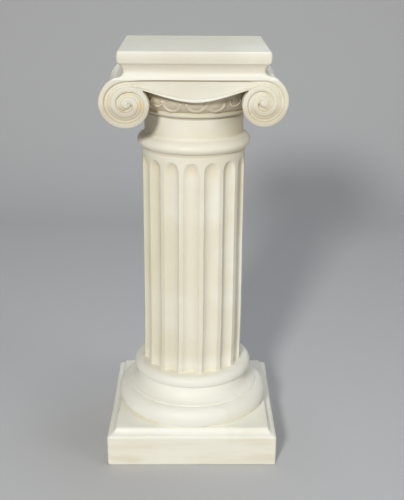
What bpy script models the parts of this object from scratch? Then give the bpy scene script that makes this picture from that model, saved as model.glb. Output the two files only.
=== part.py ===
"""Roman column pedestal, cast in one piece: plinth, Attic base, fluted shaft and Ionic capital.

Metres, +Z up. The origin is under the centre of the plinth and the front faces -Y.
Every level is stacked on the one below it, so a changed height lifts all that stands on it.
"""

import math

import bmesh
import bpy
from mathutils import Vector

# Plinth
PLINTH_WIDTH = 0.372
PLINTH_FACE = 0.0695
PLINTH_MOULDING = 0.015
PLINTH_INSET = 0.0166
PLINTH_LEDGE = 0.0045
PLINTH_CORNER = 0.003

# Base: lower torus, scotia, upper torus
LOWER_TORUS_RADIUS = 0.171
LOWER_TORUS_BULGE = 0.0215
LOWER_TORUS_HEIGHT = 0.0417
LOWER_TORUS_WIDEST = 0.0163
SCOTIA_HEIGHT = 0.0348
SCOTIA_FILLET = 0.0045
SCOTIA_SETBACK = 0.001
SCOTIA_TOP_RADIUS = 0.1245
UPPER_TORUS_RADIUS = 0.1348
UPPER_TORUS_BULGE = 0.0138
UPPER_TORUS_HEIGHT = 0.029

# Shaft
SHAFT_RADIUS = 0.1123
SHAFT_HEIGHT = 0.4947
FLUTES = 16
ARRIS_WIDTH = 0.0116
FLUTE_DEPTH = 0.0095
FLUTE_TOP_GAP = 0.0155
FLUTE_TURN = math.radians(-2.8)
FLUTE_WIDTH = 2 * math.pi * SHAFT_RADIUS / FLUTES - ARRIS_WIDTH

# Necking ring, neck and collar
RING_RADIUS = 0.122
RING_HEIGHT = 0.0298
RING_WIDEST = 0.0108
NECK_RADIUS = 0.107
NECK_HEIGHT = 0.0473
COLLAR_RADIUS = 0.1165
COLLAR_BULGE = 0.0075
COLLAR_HEIGHT = 0.0117

# Echinus with its eggs and darts
ECHINUS_FOOT_RADIUS = 0.1125
ECHINUS_RADIUS = 0.1315
ECHINUS_HEIGHT = 0.039
EGG_PITCH = math.radians(22.5)
EGG_TURN = math.radians(1.5)
EGGS_PER_FACE = 5
EGG_RISE = 0.0205
EGG_RADIUS = 0.0165
EGG_RIB = 0.0023
EGG_DOME = 0.0025
DART_WIDTH = 0.006

# Volutes and the channel between them
CAPITAL_DEPTH = 0.300
BAND_HEIGHT = 0.0775
EYE_SPACING = 0.2686
EYE_RADIUS = 0.0078
VOLUTE_RADIUS = 0.0606
VOLUTE_PITCH = 0.0247
VOLUTE_TIGHTENING = 0.00123
VOLUTE_SQUASH = 0.971
VOLUTE_RIM = 0.0117
VOLUTE_RELIEF = 0.004
VOLUTE_RIM_DEPTH = 0.030
JOINT_TURNS = 0.87
BOLSTER_WAIST = 0.0412
BAND_SINK = 0.00645
CHANNEL_FALL = 0.0457
CHANNEL_ROUND = 0.040
CHANNEL_RIM = 0.009
CHANNEL_RIM_END = 0.003

# Abacus
ABACUS_WIDTH = 0.302
ABACUS_DEPTH = 0.292
ABACUS_FACE = 0.0238
ABACUS_CORNER = 0.004
ABACUS_EDGE = 0.003
CAVETTO_HEIGHT = 0.0252
CAVETTO_DEPTH = 0.012
CAVETTO_WAIST = 0.0088

# Heights above the eyes: the band's level top, the groove under its fillet, and the lowest
# point of the sagging channel
BAND_RISE = VOLUTE_SQUASH * VOLUTE_RADIUS - BAND_SINK
GROOVE_RISE = VOLUTE_SQUASH * (VOLUTE_RADIUS - VOLUTE_RIM)
SAG_RISE = GROOVE_RISE - CHANNEL_FALL

# Levels
PLINTH_TOP = PLINTH_FACE + PLINTH_MOULDING
LOWER_TORUS_TOP = PLINTH_TOP + LOWER_TORUS_HEIGHT
SCOTIA_TOP = LOWER_TORUS_TOP + SCOTIA_HEIGHT
SHAFT_FOOT = SCOTIA_TOP + UPPER_TORUS_HEIGHT
RING_FOOT = SHAFT_FOOT + SHAFT_HEIGHT
RING_TOP = RING_FOOT + RING_HEIGHT
COLLAR_FOOT = RING_TOP + NECK_HEIGHT
ECHINUS_FOOT = COLLAR_FOOT + COLLAR_HEIGHT
BAND_TOP = ECHINUS_FOOT + BAND_HEIGHT
EYE_LEVEL = BAND_TOP - BAND_RISE
ABACUS_FOOT = BAND_TOP + CAVETTO_HEIGHT
COLUMN_TOP = ABACUS_FOOT + ABACUS_FACE

# Parts of the casting run this far into each other, so that they join as one solid
SEAT = 0.002
ROUND_SIDES = 48
IVORY = (0.79, 0.74, 0.60, 1.0)


def clear_scene():
    for old in list(bpy.data.objects):
        bpy.data.objects.remove(old, do_unlink=True)


def ivory_material():
    """Cast resin with an ivory paint."""
    material = bpy.data.materials.new("ivory_cast")
    material.use_nodes = True
    shader = material.node_tree.nodes["Principled BSDF"]
    shader.inputs["Base Color"].default_value = IVORY
    shader.inputs["Roughness"].default_value = 0.55
    shader.inputs["Metallic"].default_value = 0.0
    material.diffuse_color = IVORY
    return material


def loft(name, rings):
    """A closed body through rings of points, all with the same number of points."""
    bm = bmesh.new()
    loops = [[bm.verts.new(point) for point in ring] for ring in rings]
    count = len(loops[0])
    for low, high in zip(loops, loops[1:]):
        for i in range(count):
            j = (i + 1) % count
            bm.faces.new((low[i], low[j], high[j], high[i]))
    bm.faces.new(list(reversed(loops[0])))
    bm.faces.new(loops[-1])
    bmesh.ops.recalc_face_normals(bm, faces=bm.faces)
    mesh = bpy.data.meshes.new(name)
    bm.to_mesh(mesh)
    bm.free()
    body = bpy.data.objects.new(name, mesh)
    bpy.context.scene.collection.objects.link(body)
    return body


def turned(name, profile):
    """A round body from (radius, height) pairs, foot first."""
    angles = [2 * math.pi * i / ROUND_SIDES for i in range(ROUND_SIDES)]
    return loft(name, [[(r * math.cos(a), r * math.sin(a), z) for a in angles] for r, z in profile])


def oval_arc(centre, half_width, half_height, start, end, steps):
    """Points of an upright oval, from start to end in degrees anticlockwise from +X."""
    angles = [math.radians(start + (end - start) * i / steps) for i in range(steps + 1)]
    return [(centre[0] + half_width * math.cos(a), centre[1] + half_height * math.sin(a))
            for a in angles]


def rounded_rectangle(half_width, half_depth, corner, z):
    """A level rectangle with three points round each corner."""
    points = []
    for quarter, (sx, sy) in enumerate(((1, 1), (-1, 1), (-1, -1), (1, -1))):
        centre = (sx * (half_width - corner), sy * (half_depth - corner))
        start = 90 * quarter
        points += [(x, y, z) for x, y in oval_arc(centre, corner, corner, start, start + 90, 2)]
    return points


def combine(body, other, operation):
    """Joins another body to this one, or cuts it out, and removes the other."""
    change = body.modifiers.new(operation, "BOOLEAN")
    change.operation = operation
    change.solver = "EXACT"
    change.object = other
    graph = bpy.context.evaluated_depsgraph_get()
    mesh = bpy.data.meshes.new_from_object(body.evaluated_get(graph))
    body.modifiers.remove(change)
    body.data = mesh
    bpy.data.objects.remove(other, do_unlink=True)


def plinth():
    """Square block with a ledge and a hollow moulding round its top."""
    half = PLINTH_WIDTH / 2
    hollow = PLINTH_INSET - PLINTH_LEDGE
    levels = [(0, 0), (0, PLINTH_FACE), (PLINTH_LEDGE, PLINTH_TOP - hollow)]
    levels += oval_arc((PLINTH_LEDGE, PLINTH_TOP), hollow, hollow, -60, 0, 3)
    return loft("plinth", [rounded_rectangle(half - inset, half - inset, PLINTH_CORNER, z)
                           for inset, z in levels])


def base():
    """Attic base: a wide torus, a scotia above a small fillet, and a narrower torus."""
    torus_core = LOWER_TORUS_RADIUS - LOWER_TORUS_BULGE
    upper_part = LOWER_TORUS_HEIGHT - LOWER_TORUS_WIDEST
    foot_angle = -math.degrees(math.asin(min(1, LOWER_TORUS_WIDEST / upper_part)))
    torus = oval_arc((torus_core, PLINTH_TOP + LOWER_TORUS_WIDEST), LOWER_TORUS_BULGE,
                     upper_part, foot_angle, 90, 6)
    profile = [(torus[0][0], PLINTH_TOP - SEAT)] + torus
    rim = torus_core - SCOTIA_SETBACK
    hollow_height = SCOTIA_HEIGHT - SCOTIA_FILLET
    profile.append((rim, LOWER_TORUS_TOP))
    profile += oval_arc((rim, SCOTIA_TOP), rim - SCOTIA_TOP_RADIUS, hollow_height, 270, 180, 4)
    half = UPPER_TORUS_HEIGHT / 2
    profile += oval_arc((UPPER_TORUS_RADIUS - UPPER_TORUS_BULGE, SCOTIA_TOP + half),
                        UPPER_TORUS_BULGE, half, -65, 90, 5)
    return turned("base", profile)


def flute_depth(across):
    """Depth of a flute at a distance from its middle: a circular arc FLUTE_WIDTH wide."""
    half = FLUTE_WIDTH / 2
    arc = (half * half + FLUTE_DEPTH * FLUTE_DEPTH) / (2 * FLUTE_DEPTH)
    if across >= half:
        return 0.0
    return math.sqrt(arc * arc - across * across) - (arc - FLUTE_DEPTH)


def shaft():
    """Straight shaft whose flutes run down into the base and end in round heads."""
    half = FLUTE_WIDTH / 2
    head = RING_FOOT - FLUTE_TOP_GAP - half
    levels = [(SHAFT_FOOT - SEAT, 0.0)]
    for angle in (0, 28, 50, 68, 90):
        rise = half * math.sin(math.radians(angle))
        levels.append((head + rise, rise))
    levels.append((RING_FOOT + SEAT, half))
    points_across = 7
    rings = []
    for z, rise in levels:
        reach = max(math.sqrt(max(0, half * half - rise * rise)), half / 3)
        ring = []
        for flute in range(FLUTES):
            middle = FLUTE_TURN + 2 * math.pi * flute / FLUTES - math.pi / 2
            for i in range(points_across):
                across = reach * (2 * i / (points_across - 1) - 1)
                on_arris = i in (0, points_across - 1)
                depth = 0.0 if on_arris else flute_depth(math.hypot(across, rise))
                angle = middle + across / SHAFT_RADIUS
                radius = SHAFT_RADIUS - depth
                ring.append((radius * math.cos(angle), radius * math.sin(angle), z))
        rings.append(ring)
    return loft("shaft", rings)


def echinus_radius(z):
    """The echinus swells from its foot to its full radius in a quarter oval."""
    share = min(1, max(0, (z - ECHINUS_FOOT) / ECHINUS_HEIGHT))
    swell = math.sqrt(1 - (1 - share) ** 2)
    return ECHINUS_FOOT_RADIUS + (ECHINUS_RADIUS - ECHINUS_FOOT_RADIUS) * swell


def neck():
    """Necking ring, plain neck, collar bead and the bare echinus, turned as one."""
    profile = [(SHAFT_RADIUS - FLUTE_DEPTH, RING_FOOT)]
    widest = (NECK_RADIUS, RING_FOOT + RING_WIDEST)
    bulge = RING_RADIUS - NECK_RADIUS
    profile += oval_arc(widest, bulge, RING_WIDEST, -75, -25, 2)
    profile += oval_arc(widest, bulge, RING_HEIGHT - RING_WIDEST, 0, 90, 4)
    collar = (COLLAR_RADIUS - COLLAR_BULGE, COLLAR_FOOT + COLLAR_HEIGHT / 2)
    profile.append((NECK_RADIUS, COLLAR_FOOT))
    profile += oval_arc(collar, COLLAR_BULGE, COLLAR_HEIGHT / 2, -70, 60, 3)
    for angle in (0, 30, 60, 90):
        z = ECHINUS_FOOT + ECHINUS_HEIGHT * (1 - math.cos(math.radians(angle)))
        profile.append((echinus_radius(z), z))
    profile.append((ECHINUS_RADIUS, BAND_TOP - VOLUTE_RIM / 2))
    return turned("neck", profile)


def on_echinus(angle, z, proud):
    """A point on the echinus, turned from the front (-Y) about the axis and standing proud."""
    r = echinus_radius(z) + proud
    return Vector((r * math.sin(angle), -r * math.cos(angle), z))


def egg(turn):
    """The raised U round one egg, swept with a roof-shaped section that sinks in."""
    path = [(-EGG_RADIUS, EGG_RISE + EGG_RADIUS)]
    path += oval_arc((0, EGG_RISE), EGG_RADIUS, EGG_RADIUS, 180, 360, 7)
    path.append((EGG_RADIUS, EGG_RISE + EGG_RADIUS))
    section = [(-1, -1), (-0.7, 0.4), (0.7, 0.4), (1, -1)]
    rings = []
    for i, (x, rise) in enumerate(path):
        before = path[max(i - 1, 0)]
        after = path[min(i + 1, len(path) - 1)]
        along = Vector((after[0] - before[0], after[1] - before[1])).normalized()
        side = Vector((-along.y, along.x)) * EGG_RIB
        rings.append([on_echinus(turn + (x + s * side.x) / ECHINUS_FOOT_RADIUS,
                                 ECHINUS_FOOT + rise + s * side.y, p * EGG_RIB)
                      for s, p in section])
    return loft("egg", rings)


def egg_dome(turn):
    """The low egg inside its U."""
    rings = []
    for share, proud in ((1.0, -1.0), (0.7, 0.5), (0.3, 0.9)):
        reach = share * (EGG_RADIUS - 2 * EGG_RIB)
        ring = oval_arc((0, EGG_RISE), reach, reach, 0, 315, 7)
        rings.append([on_echinus(turn + x / ECHINUS_FOOT_RADIUS, ECHINUS_FOOT + rise,
                                 proud * EGG_DOME) for x, rise in ring])
    return loft("egg_dome", rings)


def dart(turn):
    """The narrow pointed tongue between two eggs."""
    foot = ECHINUS_FOOT + EGG_RISE - EGG_RADIUS + EGG_RIB
    top = ECHINUS_FOOT + EGG_RISE + EGG_RADIUS
    rings = []
    for z, share in ((foot, 0.2), ((foot + top) / 2, 0.7), (top, 1.0)):
        half = share * DART_WIDTH / 2 / ECHINUS_FOOT_RADIUS
        rings.append([on_echinus(turn - half, z, -EGG_RIB), on_echinus(turn + half, z, -EGG_RIB),
                      on_echinus(turn, z, EGG_RIB * share)])
    return loft("dart", rings)


def volute_radius(turns):
    """Outer edge of the scroll after so many turns, counted from straight above the eye."""
    return VOLUTE_RADIUS - VOLUTE_PITCH * turns + VOLUTE_TIGHTENING * turns * turns


def turns_in_to(radius):
    """Turns after which the scroll's outer edge has come in to a radius."""
    root = math.sqrt(VOLUTE_PITCH ** 2 - 4 * VOLUTE_TIGHTENING * (VOLUTE_RADIUS - radius))
    return (VOLUTE_PITCH - root) / (2 * VOLUTE_TIGHTENING)


def scroll_point(turns, radius):
    """A point (across, up) from the eye of the right-hand volute, winding outward side first."""
    angle = 2 * math.pi * turns
    return radius * math.sin(angle), VOLUTE_SQUASH * radius * math.cos(angle)


def band_end():
    """Turns at which the scroll's edge, coming down from its crown, meets the band's top."""
    low, high = 0.0, 0.25
    for _ in range(30):
        middle = (low + high) / 2
        if scroll_point(middle, volute_radius(middle))[1] > BAND_RISE:
            low = middle
        else:
            high = middle
    return high


def sag(joint, lift, lift_at_joint):
    """Points of the sagging edge from its joint with the scroll to the axis, lifted evenly."""
    swing = math.hypot(joint[0], CHANNEL_ROUND) - CHANNEL_ROUND
    steps = 7
    points = []
    for i in range(steps, -1, -1):
        x = joint[0] * i / steps
        share = (math.hypot(x, CHANNEL_ROUND) - CHANNEL_ROUND) / swing
        rise = SAG_RISE + (joint[1] - SAG_RISE) * share
        points.append((x, rise + lift + (lift_at_joint - lift) * i / steps))
    return points


def scroll_joint(scale):
    """Where the scroll's outer edge ends and the sagging lower edge begins."""
    across, up = scroll_point(JOINT_TURNS, volute_radius(JOINT_TURNS))
    return EYE_SPACING / 2 + scale * across, scale * up


def both_halves(half):
    """A closed outline from its right half, whose first and last points are on the axis."""
    return half + [(-x, z) for x, z in reversed(half[1:-1])]


def volutes_outline(scale):
    """The volutes and the band between them, with the scrolls drawn in to a scale."""
    eye = EYE_SPACING / 2
    start = band_end()
    steps = 22
    points = [(0, BAND_RISE), (eye - VOLUTE_RIM, BAND_RISE)]
    for i in range(steps):
        turns = start + (JOINT_TURNS - start) * i / steps
        across, up = scroll_point(turns, volute_radius(turns))
        points.append((eye + scale * across, scale * up))
    points += sag(scroll_joint(scale), 0, 0)
    return both_halves([(x, EYE_LEVEL + z) for x, z in points])


def scrolls():
    """Both faces' volutes, the band between them, and the waisted bolsters behind."""
    half_depth = CAPITAL_DEPTH / 2
    reach = half_depth - VOLUTE_RIM_DEPTH
    waist = BOLSTER_WAIST / VOLUTE_RADIUS
    stations = [(share * reach, waist + (1 - waist) * share * share)
                for share in (-1, -0.75, -0.4, 0, 0.4, 0.75, 1)]
    stations = [(-half_depth, 1)] + stations + [(half_depth, 1)]
    return loft("scrolls", [[(x, y, z) for x, z in volutes_outline(scale)]
                            for y, scale in stations])


def channel_outline():
    """The sunk channel: along the band, in to both eyes, where it runs out, and back."""
    eye = EYE_SPACING / 2
    end = turns_in_to(EYE_RADIUS + VOLUTE_RIM)
    steps = 26
    turns = [end * i / steps for i in range(steps + 1)]
    outer = [scroll_point(t, volute_radius(t) - VOLUTE_RIM) for t in turns]
    inner = [scroll_point(t, max(volute_radius(t + 1), EYE_RADIUS)) for t in turns[:-1]]
    points = [(0, GROOVE_RISE)]
    points += [(eye + x, z) for x, z in outer + inner[::-1]]
    points += sag(scroll_joint(1), CHANNEL_RIM, CHANNEL_RIM_END)
    return both_halves([(x, EYE_LEVEL + z) for x, z in points])


def channel(side):
    """Cutter for the sunk channel of one face; side is -1 for the front."""
    face = side * CAPITAL_DEPTH / 2
    return loft("channel", [[(x, face + side * d, z) for x, z in channel_outline()]
                            for d in (-VOLUTE_RELIEF, VOLUTE_RELIEF)])


def abacus():
    """Square tile on a hollow moulding that flares out to meet the band."""
    half_width = ABACUS_WIDTH / 2
    half_depth = ABACUS_DEPTH / 2
    waist = (0, BAND_TOP + CAVETTO_WAIST)
    levels = [(-SEAT, BAND_TOP - SEAT / 2)]
    levels += oval_arc(waist, CAVETTO_DEPTH, CAVETTO_WAIST, -90, -30, 2)
    levels += oval_arc(waist, CAVETTO_DEPTH, CAVETTO_HEIGHT - CAVETTO_WAIST, 0, 80, 4)
    levels.append((0, ABACUS_FOOT + ABACUS_EDGE / 2))
    levels += oval_arc((ABACUS_EDGE, COLUMN_TOP - ABACUS_EDGE), ABACUS_EDGE, ABACUS_EDGE, 180, 90, 2)
    return loft("abacus", [rounded_rectangle(half_width - inset, half_depth - inset,
                                             ABACUS_CORNER, z) for inset, z in levels])


def build_column():
    column = plinth()
    column.name = "column"
    capital = scrolls()
    for side in (-1, 1):
        combine(capital, channel(side), "DIFFERENCE")
    crown = neck()
    middle = (EGGS_PER_FACE - 1) / 2
    for face in (0, math.pi):
        for k in range(EGGS_PER_FACE):
            turn = face + EGG_TURN + (k - middle) * EGG_PITCH
            combine(crown, egg(turn), "UNION")
            combine(crown, egg_dome(turn), "UNION")
        for k in range(EGGS_PER_FACE - 1):
            combine(crown, dart(face + EGG_TURN + (k - middle + 0.5) * EGG_PITCH), "UNION")
    for piece in (base(), shaft(), crown, capital, abacus()):
        combine(column, piece, "UNION")
    column.data.materials.clear()
    column.data.materials.append(ivory_material())
    column.data.shade_smooth()
    column.data.set_sharp_from_angle(angle=math.radians(35))


clear_scene()
build_column()
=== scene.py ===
import math

import bmesh
import bpy
from mathutils import Matrix, Vector


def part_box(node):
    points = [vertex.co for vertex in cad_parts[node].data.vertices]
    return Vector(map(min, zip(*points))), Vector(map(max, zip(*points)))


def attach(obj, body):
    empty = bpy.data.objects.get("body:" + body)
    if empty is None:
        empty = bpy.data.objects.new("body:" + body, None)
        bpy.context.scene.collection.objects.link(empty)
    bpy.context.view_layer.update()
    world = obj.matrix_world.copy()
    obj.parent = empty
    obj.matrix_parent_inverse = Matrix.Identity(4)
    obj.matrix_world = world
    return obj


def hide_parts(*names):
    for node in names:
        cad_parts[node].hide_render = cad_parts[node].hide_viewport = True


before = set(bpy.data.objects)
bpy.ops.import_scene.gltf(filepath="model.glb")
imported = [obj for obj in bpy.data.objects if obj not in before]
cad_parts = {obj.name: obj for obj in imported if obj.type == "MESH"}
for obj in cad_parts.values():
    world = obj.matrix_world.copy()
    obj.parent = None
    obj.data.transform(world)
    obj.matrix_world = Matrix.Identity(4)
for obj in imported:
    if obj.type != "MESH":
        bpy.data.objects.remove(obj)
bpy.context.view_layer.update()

top_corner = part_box("column")[1]


# The plinth is a square block with a ledge and a hollow moulding round its top. Like the rest of
# the pedestal it is the wall of one resin casting, so its corners are as soft as the mould's.

PLINTH_HALF = top_corner.y
PLINTH_FACE = 0.0695
PLINTH_MOULDING = 0.015
PLINTH_INSET = 0.0166
PLINTH_LEDGE = 0.0045
PLINTH_EDGE = 0.003
PLINTH_TOP = PLINTH_FACE + PLINTH_MOULDING
CORNER_RADIUS = 0.005
CORNER_DRAW = 0.0026


def oval(centre, half_width, half_height, start, end, steps):
    """Points of an upright oval, from start to end in degrees anticlockwise from outward."""
    angles = [math.radians(start + (end - start) * i / steps) for i in range(steps + 1)]
    return [(centre[0] + half_width * math.cos(a), centre[1] + half_height * math.sin(a))
            for a in angles]


def spread(low, high, steps, crowd=0.75):
    """Values between low and high, without those two, closer together towards both ends."""
    shares = [i / steps for i in range(1, steps)]
    return [low + (high - low) * (s - crowd * math.sin(2 * math.pi * s) / (2 * math.pi))
            for s in shares]


def as_rows(points, roundness, fluting=0.0):
    """Rows of the net: distance from the axis, height, roundness of the plan, depth of fluting."""
    return [(distance, height, roundness, fluting) for distance, height in points]


def plinth_rows(torus_foot):
    """The underside from its middle, the face, the moulding, and the flat top in to the torus."""
    half = PLINTH_HALF
    edge = PLINTH_EDGE
    hollow = PLINTH_INSET - PLINTH_LEDGE
    points = [(half * share, 0.0) for share in (0, 0.3, 0.6, 0.85)]
    points += oval((half - edge, edge), edge, edge, -90, 0, 3)
    points += [(half, z) for z in spread(edge, PLINTH_FACE - edge, 11)]
    points += oval((half - edge, PLINTH_FACE - edge), edge, edge, 0, 70, 3)
    cove = oval((half - PLINTH_LEDGE, PLINTH_TOP), -hollow, hollow, -90, -10, 8)
    points += cove
    lip = half - PLINTH_INSET
    points += [(lip - edge / 3, PLINTH_TOP - edge / 3), (lip - edge, PLINTH_TOP)]
    rows = as_rows(points, 0.0)
    steps = 11
    for i in range(1, steps):
        share = 1 - (1 - i / steps) ** 2
        rows.append((lip - edge + share * (torus_foot - lip + edge), PLINTH_TOP, share, 0.0))
    return rows


# The Attic base is turned: a wide torus, a hollow scotia over a small fillet, and a narrower torus
# on which the shaft stands. It is part of the same casting.

LOWER_TORUS_RADIUS = 0.1728
LOWER_TORUS_BULGE = 0.0233
LOWER_TORUS_HEIGHT = 0.0417
LOWER_TORUS_WIDEST = 0.0163
SCOTIA_HEIGHT = 0.0322
SCOTIA_FILLET = 0.0030
SCOTIA_ROUND = 0.0026
SCOTIA_SETBACK = 0.0005
SCOTIA_TOP_RADIUS = 0.1245
UPPER_TORUS_RADIUS = 0.1354
UPPER_TORUS_BULGE = 0.0138
UPPER_TORUS_HEIGHT = 0.029
LOWER_TORUS_TOP = PLINTH_TOP + LOWER_TORUS_HEIGHT
SCOTIA_TOP = LOWER_TORUS_TOP + SCOTIA_HEIGHT
SHAFT_FOOT = SCOTIA_TOP + UPPER_TORUS_HEIGHT


def base_points():
    """The turned profile from the plinth's top to the top of the upper torus."""
    core = LOWER_TORUS_RADIUS - LOWER_TORUS_BULGE
    upper_part = LOWER_TORUS_HEIGHT - LOWER_TORUS_WIDEST
    foot_angle = -math.degrees(math.asin(LOWER_TORUS_WIDEST / upper_part))
    points = oval((core, PLINTH_TOP + LOWER_TORUS_WIDEST), LOWER_TORUS_BULGE, upper_part,
                  foot_angle, 88, 20)
    rim = core - SCOTIA_SETBACK
    hollow = SCOTIA_HEIGHT - SCOTIA_FILLET
    round_off = SCOTIA_ROUND
    points.append((rim, LOWER_TORUS_TOP))
    points += oval((rim - round_off, SCOTIA_TOP - hollow - round_off), round_off, round_off, 0, 62, 4)
    points += oval((rim, SCOTIA_TOP), rim - SCOTIA_TOP_RADIUS, hollow, 255, 180, 12)
    half = UPPER_TORUS_HEIGHT / 2
    points += oval((UPPER_TORUS_RADIUS - UPPER_TORUS_BULGE, SCOTIA_TOP + half),
                   UPPER_TORUS_BULGE, half, -65, 90, 14)
    return points


# The shaft is straight and has sixteen shallow flutes, which run down into the base and end in
# round heads below the necking ring. The narrow arrises between them are flat with soft edges.

SHAFT_RADIUS = 0.1123
SHAFT_HEIGHT = 0.4973
FLUTES = 16
ARRIS_WIDTH = 0.0098
ARRIS_SOFTNESS = 0.0016
FLUTE_DEPTH = 0.0095
FLUTE_TOP_GAP = 0.0155
FLUTE_TURN = math.radians(-2.8)
FOOT_FILLET = 0.0018
FLUTE_FADE = 0.0022
HEAD_STRETCH = 1.35
FLUTE_WIDTH = 2 * math.pi * SHAFT_RADIUS / FLUTES - ARRIS_WIDTH
RING_FOOT = SHAFT_FOOT + SHAFT_HEIGHT
HEAD_RISE = HEAD_STRETCH * FLUTE_WIDTH / 2
FLUTE_HEAD = RING_FOOT - FLUTE_TOP_GAP - HEAD_RISE
STRIPS_IN_FLUTE = 14
STRIPS_ON_ARRIS = 4
WELD = 0.00003


def held(share):
    """A share kept between nothing and one."""
    return min(1.0, max(0.0, share))


def eased(share):
    """A share that starts and ends its rise softly."""
    return share * share * (3 - 2 * share)


def flute_share(height):
    """Share of their depth that the flutes have at a height: they fade out on the torus."""
    return eased(held((height - SHAFT_FOOT) / FLUTE_FADE))


def shaft_rows():
    """Rows up the shaft: out of the torus in a small hollow, and close round the flutes' heads."""
    rows = []
    for distance, height in oval((SHAFT_RADIUS + FOOT_FILLET, SHAFT_FOOT + FOOT_FILLET),
                                 -FOOT_FILLET, FOOT_FILLET, -90, 0, 7):
        rows.append((distance, height, 1.0, flute_share(height)))
    for height in spread(rows[-1][1], FLUTE_HEAD, 42):
        rows.append((SHAFT_RADIUS, height, 1.0, flute_share(height)))
    steps = 14
    for i in range(steps + 1):
        rise = HEAD_RISE * math.sin(math.pi / 2 * i / steps)
        rows.append((SHAFT_RADIUS, FLUTE_HEAD + rise, 1.0, 1.0))
    top = FLUTE_HEAD + HEAD_RISE
    rows += [(SHAFT_RADIUS, z, 1.0, 1.0) for z in spread(top, RING_FOOT, 8)]
    return rows


class Wire:
    """A socket of a node tree. A sum on it adds a Math node, or a Vector Math node on a vector."""

    def __init__(self, tree, socket=None):
        self.tree = tree
        self.socket = socket

    def is_vector(self):
        return self.socket.type in ("VECTOR", "RGBA")

    def node(self, kind, settings=None, sockets=None, output=0):
        """Adds a node of any kind: its settings first, then the values or links of its sockets."""
        made = self.tree.nodes.new(kind)
        for name, value in (settings or {}).items():
            setattr(made, name, value)
        for name, value in (sockets or {}).items():
            self.feed(self.pick(made.inputs, name), value)
        return Wire(self.tree, self.pick(made.outputs, output))

    def other(self, name):
        """Another output of the node that this wire comes from."""
        return Wire(self.tree, self.pick(self.socket.node.outputs, name))

    def pick(self, sockets, name):
        """A socket in use, by its name or by its place in the row."""
        shown = [socket for socket in sockets if socket.enabled]
        if isinstance(name, int):
            return shown[name]
        return next(socket for socket in shown if socket.name == name)

    def feed(self, socket, value):
        """Sets a socket's value, or links it; a list of wires goes to a socket for many."""
        for item in value if isinstance(value, list) else [value]:
            if isinstance(item, Wire):
                self.tree.links.new(item.socket, socket)
            elif socket.type == "VECTOR" and isinstance(item, (int, float)):
                socket.default_value = (item, item, item)
            else:
                socket.default_value = item

    def math(self, operation, first, *others):
        """A Math node, or a Vector Math node where one of its values is a vector."""
        values = (first,) + others
        vector = any(isinstance(value, Wire) and value.is_vector() for value in values)
        kind = "ShaderNodeVectorMath" if vector else "ShaderNodeMath"
        return self.node(kind, {"operation": operation}, dict(enumerate(values)))

    def __add__(self, other):
        return self.math("ADD", self, other)

    def __radd__(self, other):
        return self.math("ADD", other, self)

    def __sub__(self, other):
        return self.math("SUBTRACT", self, other)

    def __rsub__(self, other):
        return self.math("SUBTRACT", other, self)

    def __mul__(self, other):
        return self.math("MULTIPLY", self, other)

    def __rmul__(self, other):
        return self.math("MULTIPLY", other, self)

    def __truediv__(self, other):
        return self.math("DIVIDE", self, other)

    def __rtruediv__(self, other):
        return self.math("DIVIDE", other, self)

    def at_least(self, other):
        return self.math("MAXIMUM", self, other)

    def at_most(self, other):
        return self.math("MINIMUM", self, other)

    def root(self):
        return self.math("SQRT", self.at_least(0.0))

    def split(self):
        """The three parts of a vector."""
        first = self.node("ShaderNodeSeparateXYZ", None, {0: self})
        return [first, first.other(1), first.other(2)]

    def joined(self, x, y, z):
        """A vector from three parts."""
        return self.node("ShaderNodeCombineXYZ", None, {"X": x, "Y": y, "Z": z})

    def mixed(self, share, other):
        """This value or vector, going over to another as share goes from 0 to 1."""
        kind = "VECTOR" if self.is_vector() else "FLOAT"
        return self.node("ShaderNodeMix", {"data_type": kind},
                         {"Factor": share, "A": self, "B": other})

    def place(self):
        """The position field of a Geometry Nodes tree."""
        return self.node("GeometryNodeInputPosition")

    def stored(self, name):
        """A number stored on the points under a name."""
        return self.node("GeometryNodeInputNamedAttribute", {"data_type": "FLOAT"},
                         {"Name": name}, "Attribute")

    def moved(self, place):
        """This geometry with its points at another place."""
        return self.node("GeometryNodeSetPosition", None, {"Geometry": self, "Position": place})


def new_tree(name, mesh_input, numbers, whole_numbers=()):
    """A Geometry Nodes tree with inputs for a mesh, its sizes and the paint, and their wires."""
    tree = bpy.data.node_groups.new(name, "GeometryNodeTree")
    tree.interface.new_socket("Geometry", in_out="OUTPUT", socket_type="NodeSocketGeometry")
    inputs = {mesh_input: "Geometry", **dict.fromkeys(whole_numbers, "Int"),
              **dict.fromkeys(numbers, "Float"), "Paint": "Material"}
    for label, kind in inputs.items():
        tree.interface.new_socket(label, in_out="INPUT", socket_type="NodeSocket" + kind)
    entry = tree.nodes.new("NodeGroupInput")
    return Wire(tree), {label: Wire(tree, entry.outputs[label]) for label in inputs}


def end_tree(geometry, paint):
    """Closes a tree: real meshes instead of instances, the paint on them, and the way out."""
    real = geometry.node("GeometryNodeRealizeInstances", None, {"Geometry": geometry})
    painted = real.node("GeometryNodeSetMaterial", None, {"Geometry": real, "Material": paint})
    way_out = painted.tree.nodes.new("NodeGroupOutput")
    painted.tree.links.new(painted.socket, way_out.inputs[0])
    return painted.tree


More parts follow.
